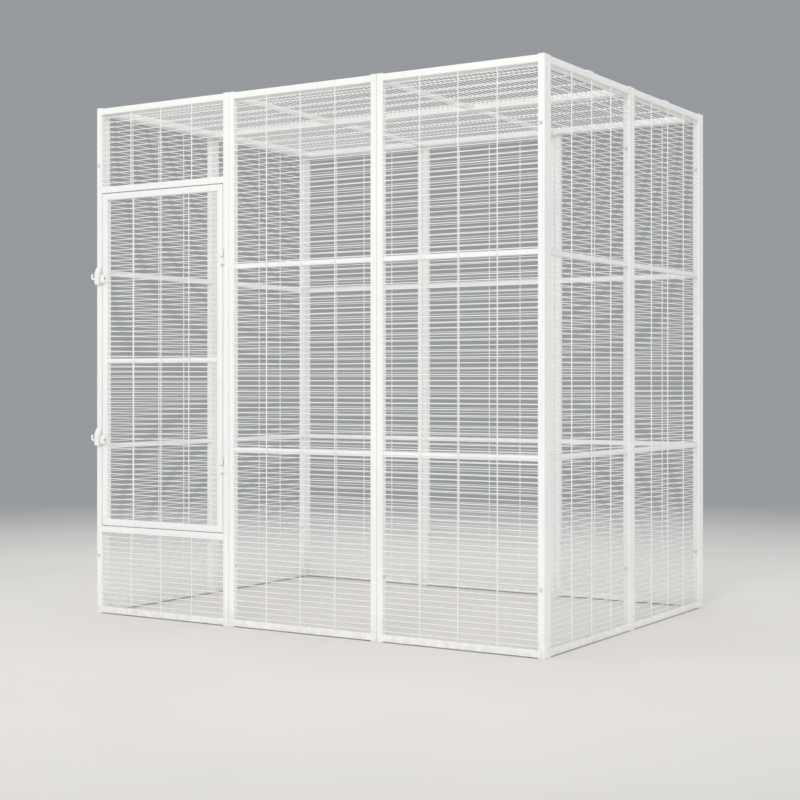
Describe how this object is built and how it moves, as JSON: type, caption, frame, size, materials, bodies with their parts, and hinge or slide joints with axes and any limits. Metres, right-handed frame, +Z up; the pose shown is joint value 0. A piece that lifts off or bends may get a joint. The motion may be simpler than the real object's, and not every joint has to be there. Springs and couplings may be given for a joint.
{
  "type": "walk-in parrot breeding cage",
  "caption": "Walk-in parrot breeding cage of bolted white wire panels in square tube, with a hinged door held by slide latches.",
  "frame": {"origin": "centre of the whole cage's footprint, latch handles and bolt heads included, on the ground", "axes": "+Z up, the long wall with the door faces -Y, and the door stands at that wall's -X end"},
  "size_m": [2.001, 1.445, 2.0023],
  "materials": {
    "white_coat": "semi-gloss",
    "zinc": "satin"
  },
  "bodies": {
    "cage": {"front_door_bay": "white_coat", "front_panel_2": "white_coat", "front_panel_3": "white_coat", "back_panel_1": "white_coat", "back_panel_2": "white_coat", "back_panel_3": "white_coat", "left_wall_panel_1": "white_coat", "left_wall_panel_2": "white_coat", "right_wall_panel_1": "white_coat", "right_wall_panel_2": "white_coat", "roof_panel_1": "white_coat", "roof_panel_2": "white_coat", "lower_hinge_frame_half": "white_coat", "lower_hinge_ring": "zinc", "lower_hinge_pin": "zinc", "upper_hinge_frame_half": "white_coat", "upper_hinge_ring": "zinc", "upper_hinge_pin": "zinc", "lower_latch_guide": "white_coat", "upper_latch_guide": "white_coat", "front_seam_1_bolt_lower": "zinc", "front_seam_1_bolt_upper": "zinc", "front_seam_2_bolt_lower": "zinc", "front_seam_2_bolt_upper": "zinc", "back_seam_1_bolt_lower": "zinc", "back_seam_1_bolt_upper": "zinc", "back_seam_2_bolt_lower": "zinc", "back_seam_2_bolt_upper": "zinc", "front_left_corner_bolt_lower": "zinc", "front_left_corner_bolt_upper": "zinc", "front_right_corner_bolt_lower": "zinc", "front_right_corner_bolt_upper": "zinc", "back_left_corner_bolt_lower": "zinc", "back_left_corner_bolt_upper": "zinc", "back_right_corner_bolt_lower": "zinc", "back_right_corner_bolt_upper": "zinc", "left_wall_seam_1_bolt_lower": "zinc", "left_wall_seam_1_bolt_upper": "zinc", "right_wall_seam_1_bolt_lower": "zinc", "right_wall_seam_1_bolt_upper": "zinc"},
    "door": {"door": "white_coat", "lower_hinge_door_half": "white_coat", "upper_hinge_door_half": "white_coat", "lower_latch_keeper": "white_coat", "upper_latch_keeper": "white_coat"},
    "lower_latch_rod": {"lower_latch_rod": "white_coat"},
    "upper_latch_rod": {"upper_latch_rod": "white_coat"}
  },
  "joints": [
    {"name": "door_swing", "type": "hinge", "parent": "cage", "child": "door", "pos_m": [-0.34665, -0.715, 1], "axis": [0, 0, 1], "range_deg": [0, 165]},
    {"name": "lower_latch_slide", "type": "slide", "parent": "cage", "child": "lower_latch_rod", "axis": [1, 0, 0], "range_m": [0, 0.0115]},
    {"name": "upper_latch_slide", "type": "slide", "parent": "cage", "child": "upper_latch_rod", "axis": [1, 0, 0], "range_m": [0, 0.0115]}
  ]
}
